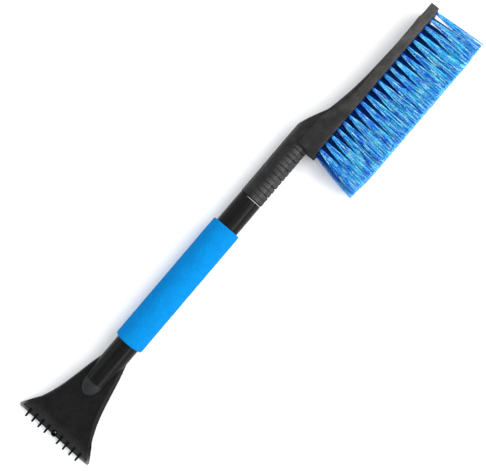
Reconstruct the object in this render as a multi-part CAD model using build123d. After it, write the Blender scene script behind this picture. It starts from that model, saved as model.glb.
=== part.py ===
from build123d import *

import os
from math import cos, pi, sin

# Snow broom: an ice scraper on a tube handle with a foam grip, and a brush head that plugs on to
# the other end and is held by a quarter-turn bayonet. Everything is in millimetres.
# It is built on the handle's axis: X runs along the handle towards the brush, the bristles point
# to -Y, Z is up, and x = 0 is the middle of the foam grip. At the end the whole object is moved so
# that the origin is the middle of its footprint, on the surface that it lies on.

# ---- driving dimensions -------------------------------------------------------------------------
GRIP_LENGTH = 180.4
GRIP_R = 19.1
GRIP_GAP = 0.15  # glue film between the foam and the tube

TUBE_R = 15.1
TUBE_BORE_R = 12.6
TUBE_LEFT = -150.8
TUBE_RIGHT = 134.0
TUBE_CHAMFER = 0.5
BEAD_HEIGHT = 0.45  # raised ring on the tube that the foam butts against
BEAD_WIDTH = 1.4
BEAD_CHAMFER = 0.3
FOAM_ROUND = 1.4

PLUG_R = 12.45  # both plugs that are glued into the tube
PLUG_BORE_R = 9.2

SPIGOT_R = 11.9
SPIGOT_END = 192.0
SPIGOT_PLUG_LENGTH = 48.0
SPIGOT_CHAMFER = 1.2
SPIGOT_TIP_WALL = 2.5
LUG_LEFT = 138.3
LUG_RIGHT = 144.3
LUG_R = 13.5
LUG_ARC = 32.0  # degrees of the circle that each lug covers
LUG_ANGLES = (90.0, 270.0)  # about X, from +Y towards +Z

SEAL_LEFT = 134.2
SEAL_RIGHT = 135.2
SEAL_R = 14.7
SEAL_BORE_R = 12.15

SOCKET_MOUTH = 135.4
SOCKET_R = 15.45
SOCKET_BORE_R = 12.2
SOCKET_BORE_END = 197.0
SOCKET_RIGHT = 275.0
SMOOTH_STEP = 0.12
MOUTH_CHAMFER = 0.4
SLANT_TOP = (237.6, SOCKET_R)
SLANT_FOOT = (280.0, -6.2)
SLOT_R = 13.85  # inside radius of the bayonet slots
SLOT_LEFT = 137.9
SLOT_RIGHT = 144.8
SLOT_CLEARANCE = 4.0  # degrees on each side of a lug
TWIST = 90.0

GROOVE_FIRST = 148.2
GROOVE_PITCH = 13.0
GROOVE_COUNT = 6
GROOVE_WIDTH = 1.5
GROOVE_DEPTH = 1.5
NOTCH_WIDTH = 2.4
NOTCH_DEPTH = 0.75

BLOCK_LEFT = 219.4
BLOCK_RIGHT = 445.4
BLOCK_HALF_WIDTH = GRIP_R
BLOCK_TOP = -1.4
BLOCK_FACE = -25.9  # the face that the bristles stand in
BLOCK_RIGHT_TOP = -14.6
BLOCK_SHOULDER = 252.0  # where the block's back leaves the level and begins to fall
BLOCK_BEND = (279.0, -8.1)
BLOCK_WAIST = (312.0, -14.5)
WAIST_SLOPE = -0.06
SPINE_START = 245.0
SPINE_FOOT = 267.4  # where the slanted socket ends and the ridge begins to fall
SPINE_CREST = ((273.7, -2.1), (285.6, -4.7), (321.3, -9.7), (357.0, -11.9), (395.0, -13.2), (425.0, -12.6))
SPINE_END_Z = -12.9
SPINE_LOW = -18.0
SPINE_HALF_WIDTH = 12.5
SPINE_BEND = (300.0, 14.2)
SPINE_NARROW = 340.0  # where the ridge has come down to its half-width
SPINE_END = 430.4
SPINE_CORNER = 5.0
SPINE_ROUND = 3.0
EDGE_ROUND = 0.9

TUFT_FIRST = 230.4
TUFT_PITCH = 10.53
TUFT_COUNTS = (21, 21, 20, 20)
TUFT_STAGGER = (0.0, -TUFT_PITCH / 2, 0.0, -TUFT_PITCH / 2)
ROW_Z = (13.2, 4.4, -4.4, -13.2)
HOLE_R = 2.5
HOLE_DEPTH = 9.3
TUFT_R = 2.4
TUFT_SEAT = 7.8  # depth of the tuft's fold in its hole
TUFT_TIP_X = 5.2
TUFT_TIP_Z = 4.15
TIP_LINE = -92.8  # where the bristles are trimmed
FAN_X = (-8.0, 3.0)  # how far the first and last tufts of a row lean outwards
FAN_Z = 1.1 / 13.2  # lean across the width, per millimetre from the middle

STAPLE_SIZE = (4.4, 1.3, 0.5)

EDGE_X = -236.5
EDGE_Z = -13.0
EDGE_THICKNESS = 1.0
EDGE_BACK = 17.0  # from the edge to the line where the bevel ends
BLADE_SHIFT = -1.0  # how far the blade's middle lies from the handle's axis, in Y
BLADE_HALF_WIDTH = 53.8
SHEET_THICKNESS = 3.0
SKIRT_THICKNESS = 2.8
BEVEL_X = EDGE_X + EDGE_BACK
BEVEL_Z = -7.3
TOP_ROUND = 1.0
CORNER_ROUND = 3.0
CORNER_FLANK = 65.2  # direction, in degrees from X, that the blade's side faces at its corner
SIDE_LEAN = 0.2  # how much the blade's sides lean in for each millimetre that they rise
SIDE_DATUM = -8.0  # the height at which the blade's outline is measured
FLANK = ((-151.6, 24.0), (-190.0, 32.7), (-218.8, 44.2))  # the blade's outline, from above
ARCH = ((-192.0, 1.2),)  # the blade's top line between the nose and the bevel
ARCH_NOSE_Z = 7.0
SKIRT_FOOT = ((-205.0, -11.5), (-170.0, -7.5))
SKIRT_WING_Z = -5.5
LIP_START = -200.0  # the thin lip round each corner of the blade
LIP_REACH = 2.6
LIP_THICKNESS = 1.3
WING_X = -112.0
WING_HALF_WIDTH = 13.8
WING_Z = 0.8
NOSE_X = -151.0
NOSE_LENGTH = 21.5
NOSE_R = 15.0
CRADLE_R = 17.8
CRADLE_BORE_R = 15.25
CRADLE_RIGHT = -131.0
CRADLE_TOP = -4.0
PAD_SIZE = (20.0, 9.0, 2.9)
PAD_SINK = 0.9
STUB_END = -112.0

TOOTH_PITCH = 10.1
TOOTH_WIDTH = 2.7
TOOTH_LENGTH = 12.9
TOOTH_RISE = 1.1  # how far a tooth's back end stands above the blade
TOOTH_TIP_X = -242.6
TOOTH_PLACES = (-4, -3, -2, -1, 1, 2, 3, 4)
EYE_X = -233.2
EYE_R = 4.8
EYE_DISH_R = 3.5
EYE_HOLE_R = 1.3
EYE_TOP = 1.0  # how far the eye's rim stands above the blade
EYE_HEIGHT = 4.2
EYE_DISH_DEPTH = 2.6

SCREW_XS = (-146.0, -137.0)
SCREW_HEAD_R = 3.1
SCREW_HEAD_HEIGHT = 1.6
SCREW_SHANK_R = 1.5
SCREW_HOLE_R = 1.6
SCREW_TIP_Z = -6.0
SCREW_PROUD = 0.6  # how far the heads stand below the cradle
CROSS_SLOT = (3.6, 0.7, 1.4)


# ---- helpers ------------------------------------------------------------------------------------
def x_cylinder(radius, left, right):
    """A cylinder on the handle's axis."""
    rod = Cylinder(radius, right - left, align=(Align.CENTER, Align.CENTER, Align.MIN))
    return Pos(left, 0, 0) * Rot(0, 90, 0) * rod


def x_ring(outer, inner, left, right):
    return x_cylinder(outer, left, right) - x_cylinder(inner, left - 1, right + 1)


def angle_point(radius, degrees, x=0.0):
    """A point at an angle about the handle's axis, from +Y towards +Z."""
    turn = degrees * pi / 180
    return (x, radius * cos(turn), radius * sin(turn))


def sector(radius, start, sweep, left, right):
    """A pie slice about the handle's axis, from the angle start through sweep degrees."""
    arc = ThreePointArc(
        angle_point(radius, start, left),
        angle_point(radius, start + sweep / 2, left),
        angle_point(radius, start + sweep, left),
    )
    centre = (left, 0, 0)
    sides = [Line(centre, arc @ 0), arc, Line(arc @ 1, centre)]
    face = Face(Wire(sides))
    return extrude(face, amount=right - left, dir=(1, 0, 0))


def filled(*edges):
    """The flat face inside a closed run of edges."""
    return Face(Wire(list(edges)))


def across(face, half_width):
    """A side profile in the XY plane, given its width in Z."""
    return extrude(face, amount=half_width, both=True)


# ---- handle -------------------------------------------------------------------------------------
def handle_tube():
    tube = x_ring(TUBE_R, TUBE_BORE_R, TUBE_LEFT, TUBE_RIGHT)
    rims = tube.edges().filter_by(GeomType.CIRCLE).group_by(SortBy.RADIUS)[-1]
    tube = chamfer(rims.sort_by(Axis.X)[-1], TUBE_CHAMFER)
    bead_right = -GRIP_LENGTH / 2 - 0.1
    bead = x_ring(TUBE_R + BEAD_HEIGHT, TUBE_BORE_R, bead_right - BEAD_WIDTH, bead_right)
    bead = chamfer(bead.edges().filter_by(GeomType.CIRCLE).group_by(SortBy.RADIUS)[-1], BEAD_CHAMFER)
    return tube + bead - screw_holes()


def foam_grip():
    sleeve = x_ring(GRIP_R, TUBE_R + GRIP_GAP, -GRIP_LENGTH / 2, GRIP_LENGTH / 2)
    rims = sleeve.edges().filter_by(GeomType.CIRCLE).group_by(SortBy.RADIUS)[-1]
    return fillet(rims, FOAM_ROUND)


def joint_spigot():
    """The insert glued into the tube's end; its reduced end carries the bayonet lugs."""
    plug = x_cylinder(PLUG_R, TUBE_RIGHT - SPIGOT_PLUG_LENGTH, TUBE_RIGHT - 0.2)
    neck = x_cylinder(SPIGOT_R, TUBE_RIGHT - 1, SPIGOT_END)
    tip = neck.edges().filter_by(GeomType.CIRCLE).sort_by(Axis.X)[-1]
    spigot = plug + chamfer(tip, SPIGOT_CHAMFER)
    bore_left = TUBE_RIGHT - SPIGOT_PLUG_LENGTH - 1
    spigot -= x_cylinder(PLUG_BORE_R, bore_left, SPIGOT_END - SPIGOT_TIP_WALL)
    for angle in LUG_ANGLES:
        lug = sector(LUG_R, angle - LUG_ARC / 2, LUG_ARC, LUG_LEFT, LUG_RIGHT)
        spigot += lug - x_cylinder(SPIGOT_R - 0.5, LUG_LEFT - 1, LUG_RIGHT + 1)
    return spigot


def seal_ring():
    return x_ring(SEAL_R, SEAL_BORE_R, SEAL_LEFT, SEAL_RIGHT)


# ---- scraper ------------------------------------------------------------------------------------
def arch():
    """The scraper's top line, seen from the side: an arch from the wing tips to the bevel."""
    middle = [(x, 0, z) for x, z in ARCH]
    return Spline((WING_X, 0, WING_Z), (NOSE_X, 0, ARCH_NOSE_Z), *middle, (BEVEL_X, 0, BEVEL_Z))


def side_slab(lower):
    """Everything between the top line and a lower line, across the whole width, in XZ."""
    top = arch()
    edge_top = (EDGE_X, 0, EDGE_Z)
    bevel = Line(top @ 1, edge_top)
    front = Line(edge_top, lower[0])
    bottom = Spline(*lower)
    back = Line(bottom @ 1, top @ 0)
    face = filled(top, bevel, front, bottom, back)
    return extrude(face, amount=BLADE_HALF_WIDTH + 20, both=True, dir=(0, 1, 0))


def skirt_line(rise=0.0):
    """The lower line of the blade's sides, from the edge back to the wing tips."""
    start = (EDGE_X, 0, EDGE_Z - EDGE_THICKNESS + rise)
    middle = [(x, 0, z + rise) for x, z in SKIRT_FOOT]
    return [start, *middle, (WING_X, 0, SKIRT_WING_Z + rise)]


def plan(z, inset, front):
    """The blade's outline from above at height z, drawn in by inset."""
    flank = [(WING_X, WING_HALF_WIDTH), *FLANK, (EDGE_X, BLADE_HALF_WIDTH)]
    left, right = [
        Spline(*[(x, BLADE_SHIFT + side * (y - inset), z) for x, y in flank]) for side in (1, -1)
    ]
    edges = [left]
    if front < EDGE_X:
        front_left = (front, (left @ 1).Y, z)
        front_right = (front, (right @ 1).Y, z)
        edges.append(Line(left @ 1, front_left))
        edges.append(Line(front_left, front_right))
        edges.append(Line(front_right, right @ 1))
    else:
        edges.append(Line(left @ 1, right @ 1))
    edges.append(right)
    edges.append(Line(right @ 0, left @ 0))
    return filled(*edges)


def drafted_plan(inset, front):
    """The outline as a body whose sides lean in as they rise."""
    low, high = -24.0, 12.0
    bottom = plan(low, inset + SIDE_LEAN * (low - SIDE_DATUM), front)
    top = plan(high, inset + SIDE_LEAN * (high - SIDE_DATUM), front)
    return loft([bottom, top], ruled=True)


def corner_cut(side, reach):
    """What rounds one end of the blade's edge off, seen from above, reach outside its outline."""
    flank = CORNER_FLANK * pi / 180
    at_foot = SIDE_LEAN * (SIDE_DATUM - EDGE_Z + EDGE_THICKNESS)
    corner_y = BLADE_HALF_WIDTH + at_foot + reach
    centre_x = EDGE_X + CORNER_ROUND
    centre_y = corner_y - CORNER_ROUND * (1 + cos(flank)) / sin(flank)
    middle = (flank + pi) / 2
    on_flank, halfway = [
        (centre_x + CORNER_ROUND * cos(turn), centre_y + CORNER_ROUND * sin(turn))
        for turn in (flank, middle)
    ]
    on_edge = (EDGE_X, centre_y)
    out_x, out_y = EDGE_X - 3, BLADE_HALF_WIDTH + 9
    waste = filled(
        ThreePointArc(on_flank, halfway, on_edge),
        Line(on_edge, (out_x, centre_y)),
        Line((out_x, centre_y), (out_x, out_y)),
        Line((out_x, out_y), (on_flank[0], out_y)),
        Line((on_flank[0], out_y), on_flank),
    )
    cut = extrude(waste, amount=30, both=True)
    return Pos(0, BLADE_SHIFT, 0) * (cut if side > 0 else mirror(cut, Plane.XZ))


def lip(side):
    """The thin worn lip along the foot of one side, which widens towards the blade's corner."""
    low, high = Spline(*skirt_line()), Spline(*skirt_line(LIP_THICKNESS))
    band = filled(low, Line(low @ 1, high @ 1), high, Line(high @ 0, low @ 0))
    band = extrude(band, amount=BLADE_HALF_WIDTH + 20, both=True, dir=(0, 1, 0))
    at_foot = SIDE_LEAN * (SIDE_DATUM - EDGE_Z + EDGE_THICKNESS)
    start_y = FLANK[1][1] + 1.0
    bend_x, bend_y = FLANK[2]
    end_y = BLADE_HALF_WIDTH + at_foot + LIP_REACH
    outer = Spline((LIP_START, start_y), (bend_x, bend_y + at_foot + LIP_REACH / 2), (EDGE_X, end_y))
    inner_y = BLADE_HALF_WIDTH - 8
    outline = filled(
        outer,
        Line((EDGE_X, end_y), (EDGE_X, inner_y)),
        Line((EDGE_X, inner_y), (LIP_START, start_y - 3)),
        Line((LIP_START, start_y - 3), (LIP_START, start_y)),
    )
    tool = extrude(outline, amount=30, both=True)
    if side < 0:
        tool = mirror(tool, Plane.XZ)
    return band & Pos(0, BLADE_SHIFT, 0) * tool


def scraper_tooth(place):
    """One ice-breaking tooth: a blunt ridge on the blade that juts out past its edge."""
    back_x = TOOTH_TIP_X + TOOTH_LENGTH
    bevel_slope = (BEVEL_Z - EDGE_Z) / EDGE_BACK
    back_z = EDGE_Z + bevel_slope * (back_x - EDGE_X)
    half = TOOTH_WIDTH / 2
    profile = [
        (back_x, 0, back_z - 1.2),
        (back_x, 0, back_z + TOOTH_RISE),
        (EDGE_X + 1.5, 0, EDGE_Z + 2.5),
        (TOOTH_TIP_X + 0.9, 0, EDGE_Z + 1.5),
        (TOOTH_TIP_X - 0.1, 0, EDGE_Z + 0.4),
        (TOOTH_TIP_X + 0.9, 0, EDGE_Z - 0.9),
        (EDGE_X + 1.0, 0, EDGE_Z - 0.8),
    ]
    side = extrude(Face(Wire(Polyline(*profile, close=True))), amount=5, both=True, dir=(0, 1, 0))
    tip_half = half * 0.8
    tip_x = TOOTH_TIP_X + tip_half
    left, right = (tip_x, tip_half), (tip_x, -tip_half)
    outline = filled(
        Line((back_x, half), left),
        ThreePointArc(left, (TOOTH_TIP_X, 0), right),
        Line(right, (back_x, -half)),
        Line((back_x, -half), (back_x, half)),
    )
    tooth = side & extrude(outline, amount=40, both=True)
    return Pos(0, BLADE_SHIFT + place * TOOTH_PITCH, 0) * tooth


def hanging_eye():
    """The round eye in the middle of the blade's edge, and the cutter that opens it."""
    low = EDGE_Z + EYE_TOP + 0.6 - EYE_HEIGHT
    up = (Align.CENTER, Align.CENTER, Align.MIN)
    rim = Pos(EYE_X, BLADE_SHIFT, low) * Cylinder(EYE_R, EYE_HEIGHT, align=up)
    hole = Pos(EYE_X, BLADE_SHIFT, low - 1) * Cylinder(EYE_HOLE_R, EYE_HEIGHT + 2, align=up)
    dish_low = low + EYE_HEIGHT - EYE_DISH_DEPTH
    dish = Pos(EYE_X, BLADE_SHIFT, dish_low) * Cylinder(EYE_DISH_R, EYE_DISH_DEPTH + 1, align=up)
    return rim, hole + dish


def screw(x, head_r, shank_r, margin=0.0):
    """A pan-head screw that comes up from below through the cradle, the tube and the stub."""
    up = (Align.CENTER, Align.CENTER, Align.MIN)
    head_low = -CRADLE_R - SCREW_PROUD
    head = Pos(x, 0, head_low - margin) * Cylinder(head_r, SCREW_HEAD_HEIGHT + margin, align=up)
    shank_low = head_low + SCREW_HEAD_HEIGHT - 0.1
    shank = Pos(x, 0, shank_low) * Cylinder(shank_r, SCREW_TIP_Z - shank_low + margin, align=up)
    return head + shank


def screw_holes():
    first, second = [screw(x, SCREW_HEAD_R + 0.15, SCREW_HOLE_R, 0.5) for x in SCREW_XS]
    return first + second


def scraper_screws():
    screws = []
    for x in SCREW_XS:
        pan = screw(x, SCREW_HEAD_R, SCREW_SHANK_R)
        cross = Box(*CROSS_SLOT) + Rot(0, 0, 90) * Box(*CROSS_SLOT)
        slot = Pos(x, 0, -CRADLE_R - SCREW_PROUD) * cross
        screws.append(pan - slot)
    return screws


def tray():
    """The blade itself: a thin arched sheet with a skirt on both sides."""
    sheet_low = [
        (EDGE_X, 0, EDGE_Z - EDGE_THICKNESS),
        (BEVEL_X, 0, BEVEL_Z - SHEET_THICKNESS),
        *[(x, 0, z - SHEET_THICKNESS) for x, z in ARCH],
        (NOSE_X, 0, ARCH_NOSE_Z - SHEET_THICKNESS),
        (WING_X, 0, WING_Z - SHEET_THICKNESS),
    ]
    body = side_slab(skirt_line()) & drafted_plan(0.0, EDGE_X)
    top_edges = body.edges().filter_by(GeomType.BSPLINE).filter_by_position(Axis.Z, 1.0, 10.0)
    body = fillet(top_edges, TOP_ROUND) - corner_cut(1, 0.0) - corner_cut(-1, 0.0)
    hollow = drafted_plan(SKIRT_THICKNESS, EDGE_X - 10) - side_slab(sheet_low)
    lips = lip(1) + lip(-1) - corner_cut(1, LIP_REACH) - corner_cut(-1, LIP_REACH)
    return body - hollow + lips


def cradle():
    """The saddle under the tube's end, with a flat pad for the screws."""
    ring = x_ring(CRADLE_R, CRADLE_BORE_R, NOSE_X - 5, CRADLE_RIGHT)
    hang_down = (Align.CENTER, Align.CENTER, Align.MAX)
    below = Pos(NOSE_X, 0, CRADLE_TOP) * Box(60, 60, 40, align=hang_down)
    pad = Pos(sum(SCREW_XS) / 2, 0, PAD_SINK - CRADLE_R) * Box(*PAD_SIZE)
    return (ring & below) + pad


def scraper_blade():
    blade = tray() + cradle() - x_cylinder(CRADLE_BORE_R, NOSE_X, WING_X + 20)

    arc = EllipticalCenterArc((NOSE_X, 0), NOSE_LENGTH, NOSE_R, start_angle=90, arc_size=90)
    middle = (NOSE_X, 0)
    nose = revolve(filled(arc, Line(arc @ 1, middle), Line(middle, arc @ 0)), Axis.X)
    stub = x_cylinder(PLUG_R, NOSE_X - 2, STUB_END)
    stub -= x_cylinder(PLUG_BORE_R, NOSE_X + 4, STUB_END + 1)

    rim, eye_cut = hanging_eye()
    blade = blade + nose + stub + rim
    for place in TOOTH_PLACES:
        blade += scraper_tooth(place)
    step = Pos(BEVEL_X, BLADE_SHIFT, BEVEL_Z - 0.15) * Rot(90, 0, 0) * Cylinder(0.5, 62)
    return blade + step - eye_cut - screw_holes()


# ---- brush head ---------------------------------------------------------------------------------
def tuft_places(row):
    """Each tuft's root in X, and how far its tip leans in X and in Z."""
    places = []
    count = TUFT_COUNTS[row]
    for k in range(count):
        x = TUFT_FIRST + TUFT_STAGGER[row] + k * TUFT_PITCH
        lean_x = FAN_X[0] + (FAN_X[1] - FAN_X[0]) * k / (count - 1)
        places.append((x, lean_x, ROW_Z[row] * FAN_Z))
    return places


def block():
    """The slab that holds the bristles: deep at the handle, thin at the far end."""
    corner = (BLOCK_LEFT, BLOCK_TOP)
    shoulder = (BLOCK_SHOULDER, BLOCK_TOP)
    far_top = (BLOCK_RIGHT, BLOCK_RIGHT_TOP)
    far_low = (BLOCK_RIGHT, BLOCK_FACE)
    near_low = (BLOCK_LEFT, BLOCK_FACE)
    sweep = Spline(shoulder, BLOCK_BEND, BLOCK_WAIST, tangents=[(1, 0), (1, WAIST_SLOPE)])
    side = filled(
        Line(corner, shoulder),
        sweep,
        Line(BLOCK_WAIST, far_top),
        Line(far_top, far_low),
        Line(far_low, near_low),
        Line(near_low, corner),
    )
    slab = across(side, BLOCK_HALF_WIDTH)
    sides = slab.faces().filter_by(Axis.Z)
    return fillet(sides.edges(), EDGE_ROUND)


def spine():
    """The rounded ridge that carries the socket's strength along the block's back."""
    start, foot = SPINE_START, SPINE_FOOT
    crest = Spline((foot, 0), *SPINE_CREST)
    end = (SPINE_END + 1, SPINE_END_Z)
    low = SPINE_LOW
    side_view = filled(
        Line((start, 0), (foot, 0)),
        crest,
        Line(crest @ 1, end),
        Line(end, (end[0], low)),
        Line((end[0], low), (start, low)),
        Line((start, low), (start, 0)),
    )
    right, left = [
        Spline(
            (foot, side * SOCKET_R),
            (SPINE_BEND[0], side * SPINE_BEND[1]),
            (SPINE_NARROW, side * SPINE_HALF_WIDTH),
            tangents=[(1, 0), (1, 0)],
        )
        for side in (1, -1)
    ]
    turn = SPINE_END - SPINE_CORNER
    corner = SPINE_HALF_WIDTH - SPINE_CORNER
    plan_view = filled(
        Line((start, SOCKET_R), (foot, SOCKET_R)),
        right,
        Line(right @ 1, (turn, SPINE_HALF_WIDTH)),
        RadiusArc((turn, SPINE_HALF_WIDTH), (SPINE_END, corner), SPINE_CORNER),
        Line((SPINE_END, corner), (SPINE_END, -corner)),
        RadiusArc((SPINE_END, -corner), (turn, -SPINE_HALF_WIDTH), SPINE_CORNER),
        Line((turn, -SPINE_HALF_WIDTH), left @ 1),
        left,
        Line((foot, -SOCKET_R), (start, -SOCKET_R)),
        Line((start, -SOCKET_R), (start, SOCKET_R)),
    )
    from_above = Rot(90, 0, 0) * extrude(plan_view, amount=40, both=True)
    ridge = across(side_view, 2 * SOCKET_R) & from_above
    lowest_crest = min(y for _, y in SPINE_CREST) - 1.1
    rim = ridge.edges().filter_by_position(Axis.Y, lowest_crest, -1.0)
    rim = rim.filter_by_position(Axis.X, foot + 1, SPINE_END + 1)
    crests = [edge for edge in rim if abs(edge.center().Z) > corner or edge.center().X > turn]
    return fillet(crests, SPINE_ROUND)


def rib_profile():
    """The ribbed side's profile over the axis: deep grooves with a shallow notch before each."""
    notch = NOTCH_WIDTH / 2
    groove = GROOVE_WIDTH / 2
    floor = SOCKET_R - GROOVE_DEPTH
    points = [
        (SOCKET_MOUTH, 0),
        (SOCKET_MOUTH, SOCKET_R - MOUTH_CHAMFER),
        (SOCKET_MOUTH + MOUTH_CHAMFER, SOCKET_R),
    ]
    for k in range(GROOVE_COUNT):
        x = GROOVE_FIRST + k * GROOVE_PITCH
        middle = x - GROOVE_PITCH / 2
        points += [
            (middle - notch, SOCKET_R),
            (middle, SOCKET_R - NOTCH_DEPTH),
            (middle + notch, SOCKET_R),
            (x - groove, SOCKET_R),
            (x - groove, floor),
            (x + groove, floor),
            (x + groove, SOCKET_R),
        ]
    points += [(SOCKET_RIGHT, SOCKET_R), (SOCKET_RIGHT, 0)]
    return Face(Wire(Polyline(*points, close=True)))


def smooth_profile():
    """The plain side's profile, a hair lower than the ribs."""
    radius = SOCKET_R - SMOOTH_STEP
    points = [
        (SOCKET_MOUTH, 0),
        (SOCKET_MOUTH, radius - MOUTH_CHAMFER),
        (SOCKET_MOUTH + MOUTH_CHAMFER, radius),
        (SOCKET_RIGHT, radius),
        (SOCKET_RIGHT, 0),
    ]
    return Face(Wire(Polyline(*points, close=True)))


def socket():
    """The round socket, ribbed for the fingers on its bristle side, cut off at a slant."""
    ribbed = Rot(90, 0, 0) * revolve(rib_profile(), Axis.X, 180)
    smooth = Rot(-90, 0, 0) * revolve(smooth_profile(), Axis.X, 180)
    high = SOCKET_R + 3
    slant = filled(
        Line(SLANT_TOP, SLANT_FOOT),
        Line(SLANT_FOOT, (SLANT_FOOT[0], high)),
        Line((SLANT_FOOT[0], high), (SLANT_TOP[0], high)),
        Line((SLANT_TOP[0], high), SLANT_TOP),
    )
    return ribbed + smooth - across(slant, high)


def bayonet_slots():
    """Inside the socket's mouth: a straight way in for each lug, then a quarter turn."""
    wide = LUG_ARC + 2 * SLOT_CLEARANCE
    cuts = []
    for angle in LUG_ANGLES:
        start = angle - wide / 2
        cuts.append(sector(SLOT_R, start, wide, SOCKET_MOUTH - 1, SLOT_RIGHT))
        cuts.append(sector(SLOT_R, start, wide + TWIST, SLOT_LEFT, SLOT_RIGHT))
    return cuts


def brush_head():
    body = socket() + block() + spine()
    body -= x_cylinder(SOCKET_BORE_R, SOCKET_MOUTH - 1, SOCKET_BORE_END)
    for cut in bayonet_slots():
        body -= cut
    down = Rot(90, 0, 0)
    holes = []
    for row, z in enumerate(ROW_Z):
        for x, _, _ in tuft_places(row):
            hole = Cylinder(HOLE_R, HOLE_DEPTH + 2)
            holes.append(Pos(x, BLOCK_FACE + HOLE_DEPTH / 2 - 1, z) * down * hole)
    return body - holes


def tuft(x, z, lean_x, lean_z):
    """One bundle of bristles as a plain solid: a round root that spreads to an oval tip."""
    root_plane = Plane(origin=(x, BLOCK_FACE, z), x_dir=(1, 0, 0), z_dir=(0, -1, 0))
    tip_plane = Plane(
        origin=(x + lean_x, TIP_LINE, z + lean_z), x_dir=(1, 0, 0), z_dir=(0, -1, 0)
    )
    root = root_plane * Circle(TUFT_R)
    tip = tip_plane * Ellipse(TUFT_TIP_X, TUFT_TIP_Z)
    spread = loft([root, tip], ruled=True)
    return spread + extrude(root, amount=-TUFT_SEAT)


def tuft_row(row):
    return [tuft(x, ROW_Z[row], lean_x, lean_z) for x, lean_x, lean_z in tuft_places(row)]


def staple_row(row):
    """The wire staples that hold the tufts' folds at the bottom of their holes."""
    y = BLOCK_FACE + TUFT_SEAT + 0.1 + STAPLE_SIZE[1] / 2
    return [Pos(x, y, ROW_Z[row]) * Box(*STAPLE_SIZE) for x, _, _ in tuft_places(row)]


# ---- the whole object ---------------------------------------------------------------------------
def all_nodes():
    nodes = {
        "handle_tube": [handle_tube()],
        "foam_grip": [foam_grip()],
        "scraper_blade": [scraper_blade()],
        "scraper_screws": scraper_screws(),
        "joint_spigot": [joint_spigot()],
        "seal_ring": [seal_ring()],
        "brush_head": [brush_head()],
    }
    for row in range(len(ROW_Z)):
        nodes[f"tuft_row_{row + 1}"] = tuft_row(row)
        nodes[f"staple_row_{row + 1}"] = staple_row(row)
    return nodes


def middle_of_footprint(boxes):
    """The middle of the footprint at the lowest point of everything, to a tenth of a millimetre."""
    low_x, high_x = min(b.min.X for b in boxes), max(b.max.X for b in boxes)
    low_y, high_y = min(b.min.Y for b in boxes), max(b.max.Y for b in boxes)
    low_z = min(b.min.Z for b in boxes)
    return round((low_x + high_x) / 2, 1), round((low_y + high_y) / 2, 1), round(low_z, 1)


def write_parts():
    nodes = {name: Compound(shapes) for name, shapes in all_nodes().items()}
    x, y, z = middle_of_footprint([shape.bounding_box() for shape in nodes.values()])
    print(f"the axis frame's origin is at {-x:.1f}, {-y:.1f}, {-z:.1f}")
    os.makedirs("parts", exist_ok=True)
    for name, shape in nodes.items():
        export_step(Pos(-x, -y, -z) * shape, f"parts/{name}.step")


write_parts()
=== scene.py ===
import math
import random

import bpy
import numpy as np
from mathutils import Matrix, Vector, noise


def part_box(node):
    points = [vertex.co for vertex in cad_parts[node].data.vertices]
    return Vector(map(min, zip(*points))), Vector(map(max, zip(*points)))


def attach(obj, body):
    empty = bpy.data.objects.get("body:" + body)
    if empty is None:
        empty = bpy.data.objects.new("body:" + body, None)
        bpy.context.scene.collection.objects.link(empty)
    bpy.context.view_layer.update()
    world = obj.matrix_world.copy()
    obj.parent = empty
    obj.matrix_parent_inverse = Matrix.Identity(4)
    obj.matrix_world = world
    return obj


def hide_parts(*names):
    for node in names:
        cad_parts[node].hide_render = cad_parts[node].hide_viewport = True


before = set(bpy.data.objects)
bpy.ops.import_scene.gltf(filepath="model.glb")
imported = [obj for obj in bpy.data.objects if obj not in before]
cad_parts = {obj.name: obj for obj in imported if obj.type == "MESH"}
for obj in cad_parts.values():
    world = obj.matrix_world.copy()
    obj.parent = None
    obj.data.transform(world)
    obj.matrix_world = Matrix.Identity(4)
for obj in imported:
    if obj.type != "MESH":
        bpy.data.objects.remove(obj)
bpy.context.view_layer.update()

# Looks of the snow broom, in metres, in the CAD model's own frame: X runs along the handle towards
# the brush, the bristles point to -Y and Z is up. The foam grip and the bristles are built here;
# every other piece is the CAD node with a material of its own.

MM = 0.001

# ---- camera and light ---------------------------------------------------------------------------
CAMERA_DISTANCE = 1.0
CAMERA_TILT = math.radians(6.0)  # the view leans towards the bristles
CAMERA_LEAN = math.radians(49.6)  # the handle's direction in the picture, above the horizontal
VIEW_WIDTH = 0.578  # width of the picture at the target
SENSOR_WIDTH = 36.0
TARGET_FROM_GRIP = Vector((95.1, -21.2, 0)) * MM
FLOOR_SIZE = 8.0
FLOOR_DROP = 0.2 * MM  # gap under the broom, so that no face lies in the floor
SKY_COLOUR = (0.95, 0.97, 1.0, 1)
SKY_STRENGTH = 0.9
LIGHT_DISTANCE = 2.4
LAMP_COLOUR = (1, 0.99, 0.97)
FILL_COLOUR = (0.85, 0.93, 1.0)
# name, lean from straight up and turn from +X towards +Y in degrees, size, power in watts, colour
LIGHTS = (
    ("key", 42, -40, (1.8, 1.4), 44, LAMP_COLOUR),
    ("strip", 60, -90, (2.4, 0.4), 38, LAMP_COLOUR),
    ("fill", 60, 110, (1.6, 0.6), 9, FILL_COLOUR),
)

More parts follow.
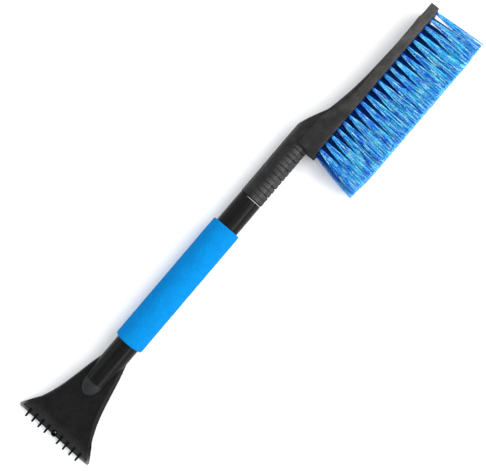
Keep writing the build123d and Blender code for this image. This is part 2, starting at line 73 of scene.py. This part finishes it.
# ---- bristles -----------------------------------------------------------------------------------
ROWS = 4
LOCKS = 16  # locks of filaments in each tuft, which lean and shine together
LOCK_FILAMENTS = 4
LOCK_R = 0.48 * MM
FILAMENT_R = 0.25 * MM
FILAMENT_SIDES = 3
FILAMENT_RINGS = 41
GOLDEN_ANGLE = math.radians(137.508)
ROOT_DEPTH = 3.0 * MM  # how far down its hole a filament is drawn
ROOT_R = 1.5 * MM
ROOT_PACKING = 0.45  # how far the filaments of a lock draw together at the root
TIP_X = 7.2 * MM  # half-widths of a tuft at its tips, along the row and across it
TIP_Z = 5.3 * MM
TIP_MARGIN = 0.6 * MM  # how far the tips stay inside the brush head's sides
SPREAD_BEND = 1.2  # above 1, a tuft opens early, near its root
CRIMP = 0.24 * MM  # half-height of the zigzag
CRIMP_RANGE = (0.5, 1.3)  # share of that height from one filament to the next
CRIMP_RISE = 5  # the zigzag grows to its height over a fifth of the filament
LOCK_BEAT = 0.25  # how unevenly the zigzag's turns follow each other, in a lock and in a filament
FILAMENT_BEAT = 0.12
LOCK_BOW = 0.45 * MM  # how far a lock and a filament bow out of line
FILAMENT_BOW = 0.35 * MM
STRAY = 0.35 * MM  # how far a tip strays from its place
TRIM = 2.6 * MM  # how much shorter than the trim line a filament can be
LOCK_TRIM = 0.8  # root of a lock's greatest share of that, and a filament's own share
FILAMENT_TRIM = 0.35
SHADE_SPREAD = 0.02  # how much the filaments of a lock differ in shade
END_LEAN = (-1.5 * MM, -2.5 * MM)  # shift of the first and last tips of a row along X
SHORT_START = 2.5 * MM  # how much shorter the first tuft is than the rest
SHORT_TUFTS = 2.5
TUFT_GAP = 3.0 * MM  # roots further apart than this are in different tufts
SEED_STEP = 10  # from one row's seeds to the next row's
# Of these blues, the deep, shaded and root blues are painted shade; the streak, glint, spark and tip
# blues are painted highlights.
DARK_BLUE = (0.0, 0.09, 0.80, 1)
LIGHT_BLUE = (0.02, 0.52, 1.0, 1)
DEEP_SHADE_BLUE = (0.0, 0.035, 0.55, 1)
SHADED_BLUE = (0.0, 0.045, 0.42, 1)
STREAK_HIGHLIGHT_BLUE = (0.08, 0.80, 1.0, 1)
GLINT_BLUE = (0.42, 1.0, 1.0, 1)
SPARK_BLUE = (0.45, 1.0, 1.0, 1)
LIT_TIP_BLUE = (0.25, 0.85, 1.0, 1)
OUTER_ROOT_SHADE = (0.0, 0.10, 0.50, 1)
INNER_ROOT_SHADE = (0.0, 0.015, 0.13, 1)
SHINE_BLUE = (0.08, 0.62, 1.0, 1)

# ---- plastic ------------------------------------------------------------------------------------
RIM_HIGHLIGHT_WIDTH = 0.8 * MM  # width of the pale painted highlight on the tube's end rim
SIDE_DULLNESS = 0.45  # how much rougher an upright side is than a top
RIBS_END = 80.8 * MM  # length of the brush head's ribbed stretch
GROOVE_R = 14.2 * MM  # below this radius the grooves between the ribs are painted black as shade
PALE_FROM = 0.35  # where the brush head begins to turn paler and warmer, as a share of its length
SHADE_BLACK = 0.001  # the grey of painted shade in grooves and gaps: the head's grooves, the scraper's teeth and its eye

# ---- scraper ------------------------------------------------------------------------------------
SHEEN_FULL = 12 * MM  # the grey painted highlight behind the edge, standing in for light on its bevel, fades out between these distances from the tooth tips
SHEEN_END = 25 * MM
TOOTH_REACH = 6.1 * MM  # how far the teeth stand out past the blade's edge
LIP_FROM = 0.72  # where the lip's pale painted highlight begins and is full, as a share of the blade's half-width
LIP_FULL = 0.86
LIP_TOP = 6.6 * MM  # height of the lip's top at the edge, and how it climbs along X
LIP_SLOPE = 0.08
LIP_LENGTH = 17 * MM  # how far back from the edge the lip's painted highlight reaches
NOSE_LOW = 26.8 * MM  # the dome at the tube's end, painted paler as the sky's reflection, lies above this height
NOSE_BACK = 91.6 * MM  # distance from the tooth tips to where the dome meets the tube
TOOTH_COUNT = 8
TOOTH_PITCH = 10.1 * MM
TOOTH_HALF = 1.4 * MM
TOOTH_LENGTH = 12.9 * MM
EYE_PLACE = 9.4 * MM  # distance from the tooth tips to the eye's middle
EYE_R = 3.7 * MM

# ---- foam ---------------------------------------------------------------------------------------
FOAM_ROUND = 2.0 * MM
FOAM_AROUND = 210  # faces round the sleeve and along it
FOAM_ALONG = 400
ROUND_STEPS = 6  # faces round the sleeve's rounded edge, and from there to its bore
COARSE_CELL = 1.4 * MM
CELL = 0.9 * MM
CELL_DEPTH = 0.07 * MM
LUMP = 11.0 * MM
LUMP_DEPTH = 0.12 * MM
FOAM_BLUES = ((0.001, 0.162, 0.44, 1), (0.0015, 0.183, 0.485, 1))
CELL_SHADE_BLUE = (0.001, 0.12, 0.39, 1)
PIT_SHADE_BLUE = (0.003, 0.15, 0.44, 1)
RUBBED_BLUE = (0.003, 0.225, 0.55, 1)


# ---- materials ----------------------------------------------------------------------------------
class Look:
    """A material on the Principled shader, with short calls for the nodes that the looks share."""

    def __init__(self, name, **constants):
        self.material = bpy.data.materials.new(name)
        self.material.use_nodes = True
        self.tree = self.material.node_tree
        self.shader = self.tree.nodes["Principled BSDF"]
        for socket, value in constants.items():
            self.shader.inputs[socket.replace("_", " ")].default_value = value
        coordinates = self.tree.nodes.new("ShaderNodeTexCoord").outputs
        self.place, self.facing = coordinates["Object"], coordinates["Normal"]

    def node(self, kind, inputs=(), **settings):
        made = self.tree.nodes.new(kind)
        for key, value in settings.items():
            setattr(made, key, value)
        for socket, value in dict(inputs).items():
            if isinstance(value, bpy.types.NodeSocket):
                self.tree.links.new(value, made.inputs[socket])
            else:
                made.inputs[socket].default_value = value
        return made

    def set(self, socket, value):
        self.tree.links.new(value, self.shader.inputs[socket])

    def stretched(self, factors, vector=None, shift=(0, 0, 0)):
        """The place, or another vector, scaled per axis, so that a pattern runs along one of them."""
        inputs = {"Vector": vector or self.place, "Location": shift, "Scale": factors}
        return self.node("ShaderNodeMapping", inputs).outputs[0]

    def noise(self, size, detail=2.0, vector=None):
        """Soft noise whose blotches are about size across."""
        inputs = {"Vector": vector or self.place, "Scale": 1 / size, "Detail": detail}
        return self.node("ShaderNodeTexNoise", inputs).outputs["Fac"]

    def cells(self, size):
        """Distance from the middles of foam-like cells of that size."""
        inputs = {"Vector": self.place, "Scale": 1 / size}
        return self.node("ShaderNodeTexVoronoi", inputs).outputs["Distance"]

    def spread(self, value, low, high, start=0.3, end=0.7):
        """The value between start and end, as low to high."""
        inputs = {"Value": value, "From Min": start, "From Max": end, "To Min": low, "To Max": high}
        return self.node("ShaderNodeMapRange", inputs).outputs[0]

    def rise(self, value, start, end):
        """0 below start, 1 above end."""
        return self.spread(value, 0, 1, start, end)

    def fall(self, value, start, end):
        """1 below start, 0 above end."""
        return self.spread(value, 1, 0, start, end)

    def axes(self, vector):
        """The vector's X, Y and Z."""
        parts = self.node("ShaderNodeSeparateXYZ", {0: vector}).outputs
        return parts["X"], parts["Y"], parts["Z"]

    def mixed(self, share, first, second):
        """A colour from first to second."""
        made = self.node("ShaderNodeMix", data_type="RGBA")
        for socket, value in ((0, share), (6, first), (7, second)):
            if isinstance(value, bpy.types.NodeSocket):
                self.tree.links.new(value, made.inputs[socket])
            else:
                made.inputs[socket].default_value = value
        return made.outputs[2]

    def sum(self, first, second, factor=1.0):
        """first plus factor times second."""
        inputs = {0: second, 1: factor, 2: first}
        return self.node("ShaderNodeMath", inputs, operation="MULTIPLY_ADD").outputs[0]

    def math(self, operation, first, second=0.0):
        return self.node("ShaderNodeMath", {0: first, 1: second}, operation=operation).outputs[0]

    def product(self, first, second):
        return self.math("MULTIPLY", first, second)

    def length(self, first, second):
        """The length of a vector with these two parts."""
        return self.math("SQRT", self.sum(self.product(first, first), self.product(second, second)))

    def bump(self, height, distance, strength=1.0):
        inputs = {"Height": height, "Distance": distance, "Strength": strength}
        self.set("Normal", self.node("ShaderNodeBump", inputs).outputs[0])


def grey(value, warmth=0.0):
    return (value * (1 + warmth), value, value * (1 - warmth), 1)


def plastic_colour(look, dark, light, warmth=0.0):
    """Cloudy grey with pale speckles and faint scuffs."""
    cloud = look.noise(14 * MM, 4)
    speckle = look.spread(look.noise(1.3 * MM, 2), 0, 0.5, 0.5, 0.7)
    base = look.mixed(look.spread(cloud, 0, 1), grey(dark, warmth), grey(light, warmth))
    base = look.mixed(speckle, base, grey(light * 1.5, warmth))
    return look.mixed(look.spread(scuffs(look), 0, 0.35, 0, 1), base, grey(light * 2.5, warmth))


def scuffs(look):
    return look.rise(look.noise(5 * MM, 4, look.stretched((0.35, 2.5, 1.0))), 0.62, 0.74)


def plastic_surface(look, rough):
    """Satin on top, and duller on the upright sides, where the mould's grain is coarse."""
    cloud = look.noise(9 * MM, 3)
    fine = look.noise(0.45 * MM, 2)
    roughness = look.spread(cloud, rough - 0.05, rough + 0.05)
    roughness = look.sum(roughness, look.spread(fine, -0.5, 0.5), 0.12)
    roughness = look.sum(roughness, scuffs(look), 0.10)
    _, _, upward = look.axes(look.facing)
    look.set("Roughness", look.sum(roughness, look.fall(upward, 0.25, 0.55), SIDE_DULLNESS))
    look.bump(look.sum(fine, scuffs(look), 0.4), 0.012 * MM)


def spigot_plastic():
    """Plain satin black."""
    look = Look("spigot_plastic", Specular_IOR_Level=0.15)
    look.set("Base Color", plastic_colour(look, 0.006, 0.012))
    plastic_surface(look, 0.40)
    return look.material


def head_plastic():
    """Black at the socket, with paler ribs and grooves painted black as shade, turning paler and
    warmer towards the block's far end.
    """
    look = Look("head_plastic", Specular_IOR_Level=0.17)
    low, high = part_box("brush_head")
    tube_low, tube_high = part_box("handle_tube")
    middle = (tube_low + tube_high) / 2
    x, y, z = look.axes(look.place)
    off_y = look.math("SUBTRACT", y, middle.y)
    off_z = look.math("SUBTRACT", z, middle.z)

    far_pale = look.rise(x, low.x + PALE_FROM * (high.x - low.x), high.x)
    far_pale = look.sum(far_pale, look.spread(look.noise(12 * MM, 3), -0.5, 0.5), 0.5)
    ribbed_length = look.fall(x, low.x + RIBS_END, low.x + RIBS_END + MM)
    ribs = look.product(ribbed_length, look.fall(off_y, -3 * MM, 2 * MM))
    # painted shade: the grooves between the ribs, below GROOVE_R, are painted black
    deep = look.fall(look.length(off_y, off_z), GROOVE_R, GROOVE_R + 0.4 * MM)

    socket = plastic_colour(look, 0.008, 0.014, 0.02)
    socket = look.mixed(ribs, socket, plastic_colour(look, 0.016, 0.034))
    base = look.mixed(far_pale, socket, plastic_colour(look, 0.030, 0.060, 0.08))
    look.set("Base Color", look.mixed(look.product(deep, ribs), base, grey(SHADE_BLACK)))
    plastic_surface(look, 0.36)
    return look.material


def scraper_plastic():
    """Black, with grey painted highlights behind the edge and on the corners' lips, teeth and eye
    painted black as shade, and a dome painted paler as the sky's reflection.
    """
    look = Look("scraper_plastic", Specular_IOR_Level=0.09)
    low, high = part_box("scraper_blade")
    x, y, z = look.axes(look.place)
    middle, half = (low.y + high.y) / 2, (high.y - low.y) / 2
    from_middle = look.math("SUBTRACT", y, middle)
    off_middle = look.math("ABSOLUTE", from_middle)
    rough = look.spread(look.noise(3 * MM, 4), -0.5, 0.5)

    # painted highlight: the grey strip behind the edge stands in for the light caught by the edge's
    # bevel
    edge_sheen = look.sum(look.fall(x, low.x + SHEEN_FULL, low.x + SHEEN_END), rough, 0.4)
    base = look.mixed(edge_sheen, plastic_colour(look, 0.003, 0.007), plastic_colour(look, 0.012, 0.024))

    # painted shade: the teeth and the eye's recess are painted black, over the painted highlight
    # behind the edge
    to_tooth = look.math("PINGPONG", from_middle, TOOTH_PITCH / 2)
    tooth = look.fall(to_tooth, TOOTH_HALF, TOOTH_HALF + 0.2 * MM)
    tooth_end = low.x + TOOTH_LENGTH
    tooth = look.product(tooth, look.fall(x, tooth_end, tooth_end + 0.2 * MM))
    outermost = (TOOTH_COUNT / 2 + 0.5) * TOOTH_PITCH
    tooth = look.product(tooth, look.fall(off_middle, outermost, outermost + MM))
    to_eye = look.math("SUBTRACT", x, low.x + EYE_PLACE)
    eye_shade = look.fall(look.length(to_eye, from_middle), EYE_R, EYE_R + 0.3 * MM)
    base = look.mixed(look.math("MAXIMUM", tooth, eye_shade), base, grey(SHADE_BLACK))

    # painted highlight: the pale grey lip at the corners stands in for light on the flared skirt
    corner = look.rise(off_middle, LIP_FROM * half, LIP_FULL * half)
    foot_low = LIP_TOP - LIP_SLOPE * (low.x + TOOTH_REACH)
    foot = look.fall(look.sum(z, x, -LIP_SLOPE), foot_low, foot_low + 0.4 * MM)
    lip_highlight = look.product(look.product(foot, corner), look.spread(rough, 0.4, 1.0, -0.3, 0.1))
    lip_highlight = look.product(lip_highlight, look.fall(x, low.x + TOOTH_REACH + 4 * MM, low.x + LIP_LENGTH))
    base = look.mixed(lip_highlight, base, grey(0.16, 0.02))

    # painted reflection: the top of the dome is painted a paler, cooler grey for the sky it reflects
    dome = look.fall(x, low.x + NOSE_BACK, low.x + NOSE_BACK + 0.5 * MM)
    dome = look.product(dome, look.rise(z, NOSE_LOW, NOSE_LOW + 3 * MM))
    look.set("Base Color", look.mixed(dome, base, plastic_colour(look, 0.014, 0.022, -0.06)))
    plastic_surface(look, 0.34)
    return look.material


def drawn_tube():
    """The tube's satin black, with faint lines along it and a pale painted highlight on its rim at
    the brush end, on the lit side.
    """
    look = Look("drawn_tube", Specular_IOR_Level=0.10)
    low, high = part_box("handle_tube")
    middle = (low.y + high.y) / 2
    x, y, _ = look.axes(look.place)
    lines = look.noise(1.2 * MM, 3, look.stretched((0.02, 1.0, 1.0)))
    cloud = look.noise(22 * MM, 3)
    speck = look.rise(look.noise(0.8 * MM, 2), 0.66, 0.74)
    base = look.mixed(look.spread(lines, 0, 1), grey(0.002, 0.05), grey(0.006, 0.05))
    base = look.mixed(look.spread(speck, 0, 0.25, 0, 1), base, grey(0.03))
    # painted highlight: the rim is pale only on the side towards -Y, where the light comes from
    rim = look.rise(x, high.x - RIM_HIGHLIGHT_WIDTH, high.x - RIM_HIGHLIGHT_WIDTH + 0.1 * MM)
    rim = look.product(rim, look.fall(y, middle, middle + 5 * MM))
    look.set("Base Color", look.mixed(rim, base, grey(0.38)))
    roughness = look.spread(cloud, 0.30, 0.37)
    look.set("Roughness", look.sum(roughness, look.spread(lines, -0.5, 0.5), 0.08))
    look.bump(lines, 0.01 * MM)
    return look.material


def blue_foam():
    """Matt closed-cell foam: fine cells, pits darkened with painted shade, a little paler where it is
    rubbed.
    """
    look = Look("blue_foam", Specular_IOR_Level=0.04)
    cells = look.cells(CELL)
    coarse = look.cells(COARSE_CELL)
    cloud = look.noise(14 * MM, 3)
    base = look.mixed(look.spread(cloud, 0, 1), *FOAM_BLUES)
    # painted shade: the foam darkens towards the middles of its cells and pits
    base = look.mixed(look.spread(cells, 0.6, 0, 0.0, 0.35), base, CELL_SHADE_BLUE)
    base = look.mixed(look.spread(coarse, 0.3, 0, 0.0, 0.5), base, PIT_SHADE_BLUE)
    rubbed = look.spread(look.noise(3 * MM, 5), 0, 0.5, 0.52, 0.72)
    look.set("Base Color", look.mixed(rubbed, base, RUBBED_BLUE))
    look.set("Roughness", look.spread(cloud, 0.78, 0.92))
    look.bump(look.sum(cells, coarse, 0.6), 0.12 * MM)
    return look.material


def blue_filament(name, root_shade, root_shade_reach, shade):
    """Glossy crimped nylon: each filament has its own blue, with painted highlights (pale streaks,
    glints, sparks, a pale lit tip) and painted shade (dark streaks and specks, darker roots, darker
    inner rows).
    """
    look = Look(name, Specular_IOR_Level=0.50, Specular_Tint=SHINE_BLUE)
    uv = look.node("ShaderNodeUVMap", uv_map="filament").outputs[0]
    own, along, _ = look.axes(uv)
    streak = look.noise(1.0, 1, look.stretched((35, 2.2, 1), uv))
    glint = look.noise(1.0, 1, look.stretched((35, 5, 1), uv, shift=(40, 0, 0)))
    spark = look.noise(0.9 * MM, 1, look.stretched((1.0, 0.4, 1.0)))
    body = look.mixed(look.rise(own, 0.35, 0.65), DARK_BLUE, LIGHT_BLUE)
    # painted shade and highlight: dark streaks and specks stand in for shade between locks, pale
    # streaks, glints and sparks for light on them
    body = look.mixed(look.fall(streak, 0.41, 0.47), body, DEEP_SHADE_BLUE)
    body = look.mixed(look.spread(streak, 0, 0.9, 0.53, 0.59), body, STREAK_HIGHLIGHT_BLUE)
    body = look.mixed(look.spread(glint, 0, 0.9, 0.54, 0.61), body, GLINT_BLUE)
    body = look.mixed(look.spread(spark, 0.6, 0, 0.34, 0.45), body, DEEP_SHADE_BLUE)
    body = look.mixed(look.spread(spark, 0, 0.7, 0.60, 0.68), body, SPARK_BLUE)
    # painted shade: the roots darken where the brush head and the rows above shade them, much further
    # up on the inner rows
    body = look.mixed(look.fall(along, root_shade_reach * 0.3, root_shade_reach), body, root_shade)
    # painted shade: with shade above 0, as on the inner rows, the filaments darken along their
    # length, less towards the tips
    body = look.mixed(look.spread(along, shade, shade * 0.5, 0.6, 1.0), body, SHADED_BLUE)
    # painted highlight: the tips are painted paler for the light on and through them
    tip = look.spread(along, 0, 0.12, 0.80, 1.0)
    look.set("Base Color", look.mixed(tip, body, LIT_TIP_BLUE))
    look.set("Roughness", look.spread(glint, 0.45, 0.25))
    return look.material


def smoky_ring():
    """The soft washer at the joint: near black, with fine dust on it."""
    look = Look("smoky_ring", Specular_IOR_Level=0.12)
    dust = look.noise(0.5 * MM, 3)
    cloud = look.noise(6 * MM, 2)
    base = look.mixed(look.spread(cloud, 0, 1), grey(0.002), grey(0.006))
    look.set("Base Color", look.mixed(look.spread(dust, 0, 0.3, 0.6, 0.75), base, grey(0.03)))
    look.set("Roughness", look.spread(cloud, 0.55, 0.7))
    look.bump(dust, 0.01 * MM)
    return look.material


def plated_steel(name, light, size):
    """Bright wire or zinc plating, finely uneven and with dull patches."""
    look = Look(name, Metallic=1.0)
    cloud = look.noise(size, 4)
    dull, bright = grey(light * 0.8, 0.02), grey(light, 0.01)
    look.set("Base Color", look.mixed(look.spread(cloud, 0, 1), dull, bright))
    look.set("Roughness", look.spread(cloud, 0.22, 0.45))
    look.bump(look.noise(size / 6, 2), 0.006 * MM)
    return look.material


def paint(node, material):
    """Gives a CAD node its material."""
    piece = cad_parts[node]
    piece.data.materials.clear()
    piece.data.materials.append(material)


# ---- meshes -------------------------------------------------------------------------------------
def mesh_object(name, vertices, faces, material, smooth=True):
    mesh = bpy.data.meshes.new(name)
    mesh.from_pydata(vertices, [], faces)
    mesh.polygons.foreach_set("use_smooth", [smooth] * len(mesh.polygons))
    mesh.materials.append(material)
    mesh.update()
    piece = bpy.data.objects.new(name, mesh)
    bpy.context.scene.collection.objects.link(piece)
    return piece


def foam_profile(radius, bore, length):
    """Distance along and radius of the sleeve's outline, from one inner edge round to the other."""
    half = length / 2
    turn = [math.pi / 2 * k / ROUND_STEPS for k in range(ROUND_STEPS + 1)]
    corner = radius - FOAM_ROUND
    start, end = -half + FOAM_ROUND, half - FOAM_ROUND
    left = [(start - FOAM_ROUND * math.cos(a), corner + FOAM_ROUND * math.sin(a)) for a in turn]
    face = [(-half, bore + (corner - bore) * k / ROUND_STEPS) for k in range(ROUND_STEPS)]
    side = [(start + (end - start) * k / FOAM_ALONG, radius) for k in range(1, FOAM_ALONG)]
    mirrored = [(-x, r) for x, r in reversed(face + left)]
    return face + left + side + mirrored


def foam_dent(point):
    """How far the foam's surface lies below its outline: cells, and the soft lumps between them."""
    cell = noise.voronoi(point / CELL)[0][0]
    lump = noise.noise(point / LUMP) + 0.5 * noise.noise(point / (LUMP / 3))
    return CELL_DEPTH * max(0.0, 1 - 1.6 * cell) + LUMP_DEPTH * max(0.0, 0.5 + lump)


def build_foam(material):
    low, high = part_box("foam_grip")
    centre = (low + high) / 2
    radius = (high.z - low.z) / 2
    bore = (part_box("handle_tube")[1].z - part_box("handle_tube")[0].z) / 2
    outline = foam_profile(radius, bore, high.x - low.x)
    vertices = []
    for x, r in outline:
        for k in range(FOAM_AROUND):
            angle = 2 * math.pi * k / FOAM_AROUND
            out = Vector((0, math.cos(angle), math.sin(angle)))
            point = Vector((x, 0, 0)) + out * r
            inward = foam_dent(point) if r > bore + MM else 0
            vertices.append(centre + point - out * inward)
    faces = []
    rings = len(outline)
    for i in range(rings):
        ring, after = i * FOAM_AROUND, (i + 1) % rings * FOAM_AROUND
        for k in range(FOAM_AROUND):
            m = (k + 1) % FOAM_AROUND
            faces.append((ring + k, ring + m, after + m, after + k))
    foam = mesh_object("foam_sleeve", vertices, faces, material)
    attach(foam, "handle")
    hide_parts("foam_grip")


def tuft_ends(row):
    """The root and the tip of every tuft of a row, read from its CAD node."""
    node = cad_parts[f"tuft_row_{row}"]
    points = np.array([v.co for v in node.data.vertices])
    seat, trim = points[:, 1].max(), points[:, 1].min()
    at_seat = points[points[:, 1] > seat - 0.1 * MM]
    at_trim = points[points[:, 1] < trim + 0.1 * MM]
    xs = np.sort(at_seat[:, 0])
    breaks = np.where(np.diff(xs) > TUFT_GAP)[0]
    groups = np.split(xs, breaks + 1)
    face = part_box("brush_head")[0].y
    roots = [Vector(((g[0] + g[-1]) / 2, face, at_seat[:, 2].mean())) for g in groups]
    first = at_trim[:, 0].min() + TIP_X + END_LEAN[0]
    last = at_trim[:, 0].max() - TIP_X + END_LEAN[1]
    z = at_trim[:, 2].mean()
    step = (last - first) / (len(roots) - 1)
    short = [SHORT_START * max(0.0, 1 - k / SHORT_TUFTS) for k in range(len(roots))]
    tips = [Vector((first + k * step, trim + short[k], z)) for k in range(len(roots))]
    return list(zip(roots, tips))


# The tips of the bristles stay between these heights.
TIP_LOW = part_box("brush_head")[0].z + TIP_MARGIN
TIP_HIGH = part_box("brush_head")[1].z - TIP_MARGIN


def disc_place(draw):
    """A random place in the unit circle, evenly spread."""
    angle, reach = draw.uniform(0, 2 * math.pi), math.sqrt(draw.random())
    return reach * math.cos(angle), reach * math.sin(angle)


def limited(draw, spread):
    """A normal draw that stays within two spreads."""
    return max(-2 * spread, min(2 * spread, draw.gauss(0, spread)))


def random_bow(draw, size):
    return Vector((draw.gauss(0, 1), 0, draw.gauss(0, 1))) * size


def filament(draw, root, tip, lock):
    """The middle line of one crimped filament of a lock, and how far along it each point is."""
    across, deep = disc_place(draw)
    own_x, own_z = across * LOCK_R, deep * LOCK_R
    root_x = lock["x"] * ROOT_R + own_x * ROOT_PACKING
    root_z = lock["z"] * ROOT_R + own_z * ROOT_PACKING
    start = root + Vector((root_x, 0, root_z))
    tip_x = lock["x"] * (TIP_X - LOCK_R) + own_x + limited(draw, STRAY)
    tip_z = lock["z"] * (TIP_Z - LOCK_R) + own_z + limited(draw, STRAY)
    end = tip + Vector((tip_x, 0, tip_z))
    end.y += lock["trim"] + draw.uniform(0, FILAMENT_TRIM) * TRIM
    end.z = min(max(end.z, TIP_LOW), TIP_HIGH)
    side = Vector((math.cos(lock["turn"]), 0, math.sin(lock["turn"])))
    height = CRIMP * draw.uniform(*CRIMP_RANGE)
    bow = lock["bow"] + random_bow(draw, FILAMENT_BOW)
    points, shares = [], []
    for k in range(FILAMENT_RINGS + 1):
        t = k / FILAMENT_RINGS
        if 0 < k < FILAMENT_RINGS:
            beat = lock["beat"][k] + draw.uniform(-FILAMENT_BEAT, FILAMENT_BEAT)
            t += beat / FILAMENT_RINGS
        opening = 1 - (1 - t) ** SPREAD_BEND
        point = start + (end - start) * opening
        point.y = start.y + (end.y - start.y) * t
        zigzag = height * (1 if k % 2 else -1) * min(1.0, CRIMP_RISE * t)
        points.append(point + side * zigzag + bow * math.sin(math.pi * t))
        shares.append(t)
    inside = start + Vector((0, ROOT_DEPTH, 0))
    return [inside] + points, [0.0] + shares


def add_tube(points, shares, own, vertices, faces, uvs):
    """A thin closed tube along the points, with its UVs: its own number and the share along it."""
    base = len(vertices)
    sides = FILAMENT_SIDES
    ring = [2 * math.pi * (k / sides + own) for k in range(sides)]
    offsets = [Vector((math.cos(a), 0, math.sin(a))) * FILAMENT_R for a in ring]
    for point in points:
        vertices.extend([point + offset for offset in offsets])
    for i in range(len(points) - 1):
        low, high = base + i * sides, base + (i + 1) * sides
        for k in range(sides):
            m = (k + 1) % sides
            faces.append((low + k, high + k, high + m, low + m))
            near, far = (own, shares[i]), (own, shares[i + 1])
            uvs.extend([near, far, far, near])
    last = base + (len(points) - 1) * sides
    faces.append(tuple(base + k for k in range(sides)))
    uvs.extend([(own, 0.0)] * sides)
    faces.append(tuple(last + k for k in reversed(range(sides))))
    uvs.extend([(own, 1.0)] * sides)


def build_bundle(name, tufts, seed, material):
    """A run of tufts as one piece, every filament its own closed tube."""
    draw = random.Random(seed)
    vertices, faces, uvs = [], [], []
    for root, tip in tufts:
        start = draw.uniform(0, 2 * math.pi)
        for n in range(LOCKS):
            reach, angle = math.sqrt((n + 0.5) / LOCKS), start + n * GOLDEN_ANGLE
            lock = {"x": reach * math.cos(angle), "z": reach * math.sin(angle)}
            lock["turn"] = draw.uniform(0, math.pi)
            lock["trim"] = draw.uniform(0, LOCK_TRIM) ** 2 * TRIM
            lock["bow"] = random_bow(draw, LOCK_BOW)
            lock["beat"] = [draw.uniform(-LOCK_BEAT, LOCK_BEAT) for _ in range(FILAMENT_RINGS)]
            shade = draw.random()
            for _ in range(LOCK_FILAMENTS):
                points, shares = filament(draw, root, tip, lock)
                own = shade + draw.uniform(-SHADE_SPREAD, SHADE_SPREAD)
                own = min(0.999, max(0.0, own))
                add_tube(points, shares, own, vertices, faces, uvs)
    piece = mesh_object(name, vertices, faces, material)
    layer = piece.data.uv_layers.new(name="filament")
    layer.data.foreach_set("uv", [value for uv in uvs for value in uv])
    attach(piece, "brush")
    return piece


def build_bristles():
    # the inner rows get a copy of the filament material with painted shade along them and far up from
    # their roots
    outer = blue_filament("blue_filament", OUTER_ROOT_SHADE, root_shade_reach=0.06, shade=0.0)
    inner = blue_filament("blue_filament_inner_shaded", INNER_ROOT_SHADE, root_shade_reach=0.50, shade=0.7)
    for row in range(1, ROWS + 1):
        material = outer if row in (1, ROWS) else inner
        ends = tuft_ends(row)
        half = (len(ends) + 1) // 2
        for part, tufts in (("near", ends[:half]), ("far", ends[half:])):
            seed = row * SEED_STEP + len(part)
            piece = build_bundle(f"bristles_{row}_{part}", tufts, seed, material)
            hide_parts(f"tuft_row_{row}")


# ---- stage --------------------------------------------------------------------------------------
def build_floor():
    look = Look("pale_floor", Roughness=0.9)
    cloud = look.noise(0.4, 2)
    look.set("Base Color", look.mixed(look.spread(cloud, 0, 1), grey(0.90), grey(0.93)))
    half = FLOOR_SIZE / 2
    corners = [(-half, -half, 0), (half, -half, 0), (half, half, 0), (-half, half, 0)]
    floor = mesh_object("floor", corners, [(0, 1, 2, 3)], look.material, smooth=False)
    floor.location.z = -FLOOR_DROP


def add_area_light(name, place, target, size, power, colour):
    light = bpy.data.lights.new(name, "AREA")
    light.shape = "RECTANGLE"
    light.size, light.size_y = size
    light.energy = power
    light.color = colour
    lamp = bpy.data.objects.new(name, light)
    lamp.location = place
    lamp.rotation_euler = (target - place).to_track_quat("-Z", "Y").to_euler()
    bpy.context.scene.collection.objects.link(lamp)


def light_place(target, lean, turn):
    """A place seen from the target at lean degrees from straight up, turned from +X towards +Y."""
    lean, turn = math.radians(lean), math.radians(turn)
    flat = math.sin(lean)
    direction = Vector((flat * math.cos(turn), flat * math.sin(turn), math.cos(lean)))
    return target + direction * LIGHT_DISTANCE


def build_lights(target):
    world = bpy.data.worlds.new("studio")
    world.use_nodes = True
    background = world.node_tree.nodes["Background"]
    background.inputs["Color"].default_value = SKY_COLOUR
    background.inputs["Strength"].default_value = SKY_STRENGTH
    bpy.context.scene.world = world
    for name, lean, turn, size, power, colour in LIGHTS:
        add_area_light(name, light_place(target, lean, turn), target, size, power, colour)


def build_camera(target):
    """Above the broom and a little to its bristle side, turned so that the handle runs uphill."""
    back = Vector((0, -math.sin(CAMERA_TILT), math.cos(CAMERA_TILT)))
    along = Vector((1, 0, 0))
    bristles = -back.cross(along)
    right = along * math.cos(CAMERA_LEAN) + bristles * math.sin(CAMERA_LEAN)
    up = along * math.sin(CAMERA_LEAN) - bristles * math.cos(CAMERA_LEAN)
    turn = Matrix((right, up, back)).transposed().to_4x4()
    data = bpy.data.cameras.new("camera")
    data.sensor_width = SENSOR_WIDTH
    data.lens = SENSOR_WIDTH * CAMERA_DISTANCE / VIEW_WIDTH
    camera = bpy.data.objects.new("camera", data)
    camera.matrix_world = Matrix.Translation(target + back * CAMERA_DISTANCE) @ turn
    bpy.context.scene.collection.objects.link(camera)
    bpy.context.scene.camera = camera


# ---- the scene ----------------------------------------------------------------------------------
grip_low, grip_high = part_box("foam_grip")
tube_low, tube_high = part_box("handle_tube")
tube_middle = (tube_low + tube_high) / 2
grip_middle = Vector(((grip_low.x + grip_high.x) / 2, tube_middle.y, tube_middle.z))
target = grip_middle + TARGET_FROM_GRIP

bpy.context.scene.view_settings.view_transform = "Standard"
build_camera(target)
build_floor()
build_lights(target)

paint("handle_tube", drawn_tube())
paint("scraper_blade", scraper_plastic())
paint("brush_head", head_plastic())
paint("joint_spigot", spigot_plastic())
paint("seal_ring", smoky_ring())
paint("scraper_screws", plated_steel("zinc_screws", 0.62, 3 * MM))
for row in range(1, ROWS + 1):
    paint(f"staple_row_{row}", plated_steel(f"staple_wire_{row}", 0.66, 2 * MM))

build_foam(blue_foam())
build_bristles()
